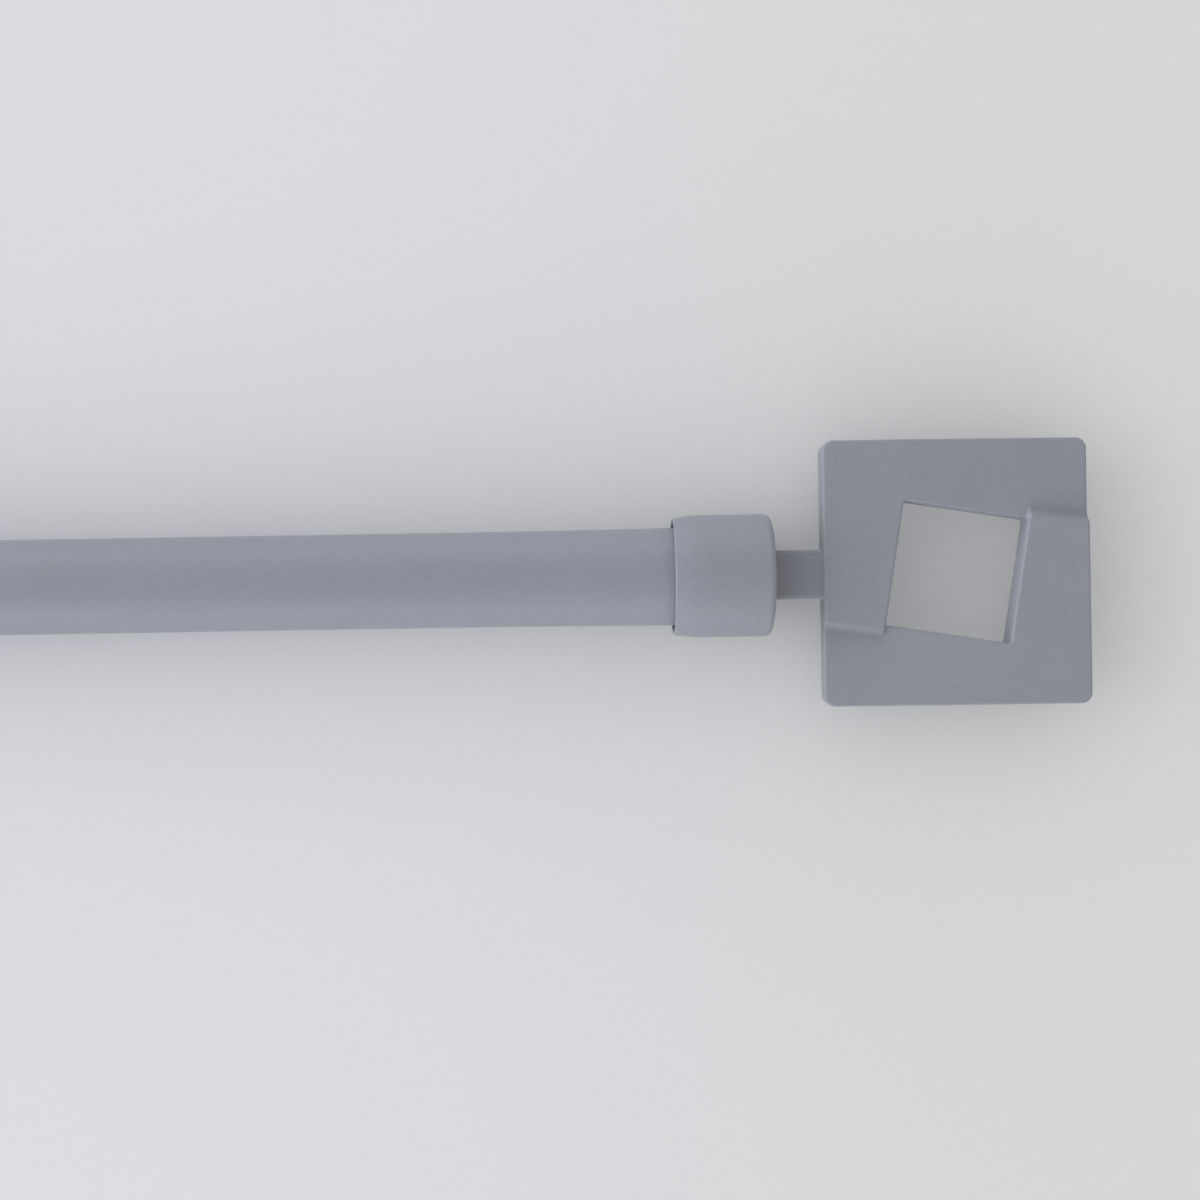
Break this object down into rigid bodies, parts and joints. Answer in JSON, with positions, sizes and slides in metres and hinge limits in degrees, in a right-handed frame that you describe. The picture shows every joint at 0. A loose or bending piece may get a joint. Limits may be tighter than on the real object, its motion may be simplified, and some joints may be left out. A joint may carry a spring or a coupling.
{
  "type": "extendable curtain rod",
  "caption": "Telescoping curtain rod: a thin tube slides in a larger one, and a square finial with a turned window and raised pinwheel relief screws into each end.",
  "frame": {"origin": "on the rod's axis, half way between the outer edges of the two finials, with the rod pulled out 120 mm beyond its shortest length", "axes": "+X along the rod towards the end of the larger tube, +Y across the flat of the finials, +Z out of their patterned faces"},
  "size_m": [0.9568, 0.053, 0.0244],
  "materials": {
    "tube_paint": "satin blue-grey paint on rolled steel",
    "collar_paint": "satin blue-grey paint on turned steel",
    "finial_paint": "satin blue-grey paint on a die casting",
    "grey_nylon": "moulded, matt, toned to the paint",
    "black_nylon": "moulded, matt",
    "white_nylon": "natural, moulded",
    "zinc_plate": "bright zinc plating"
  },
  "bodies": {
    "outer_tube": {"outer_tube": "tube_paint", "mouth_bush": "grey_nylon", "right_plug": "black_nylon", "right_nut": "zinc_plate"},
    "right_collar": {"right_collar": "collar_paint", "right_collar_liner": "black_nylon", "right_washer": "zinc_plate"},
    "right_finial": {"right_finial_plate": "finial_paint"},
    "friction_ring": {"friction_ring": "white_nylon"},
    "inner_tube": {"inner_tube": "tube_paint", "inner_end_plug": "black_nylon", "left_plug": "black_nylon", "left_nut": "zinc_plate"},
    "left_collar": {"left_collar": "collar_paint", "left_collar_liner": "black_nylon", "left_washer": "zinc_plate"},
    "left_finial": {"left_finial_plate": "finial_paint"}
  },
  "joints": [
    {"name": "telescopic_slide", "type": "slide", "parent": "outer_tube", "child": "friction_ring", "axis": [-1, 0, 0], "range_m": [-0.12, 0.38]},
    {"name": "inner_tube_turn", "type": "hinge", "parent": "friction_ring", "child": "inner_tube", "pos_m": [0.21475, 0, 0], "axis": [-1, 0, 0], "continuous": true},
    {"name": "right_collar_travel", "type": "slide", "parent": "outer_tube", "child": "right_collar", "axis": [1, 0, 0], "range_m": [0, 0.00655]},
    {"name": "right_finial_turn", "type": "hinge", "parent": "right_collar", "child": "right_finial", "pos_m": [0.41485, 0, 0], "axis": [1, 0, 0], "range_deg": [0, 2340]},
    {"name": "left_collar_travel", "type": "slide", "parent": "inner_tube", "child": "left_collar", "axis": [-1, 0, 0], "range_m": [0, 0.00655]},
    {"name": "left_finial_turn", "type": "hinge", "parent": "left_collar", "child": "left_finial", "pos_m": [-0.41485, 0, 0], "axis": [-1, 0, 0], "range_deg": [0, 2340]}
  ],
  "couplings": [
    {"joint": "right_collar_travel", "follows": "right_finial_turn", "m_per_rad": 0.00015915},
    {"joint": "left_collar_travel", "follows": "left_finial_turn", "m_per_rad": 0.00015915}
  ]
}
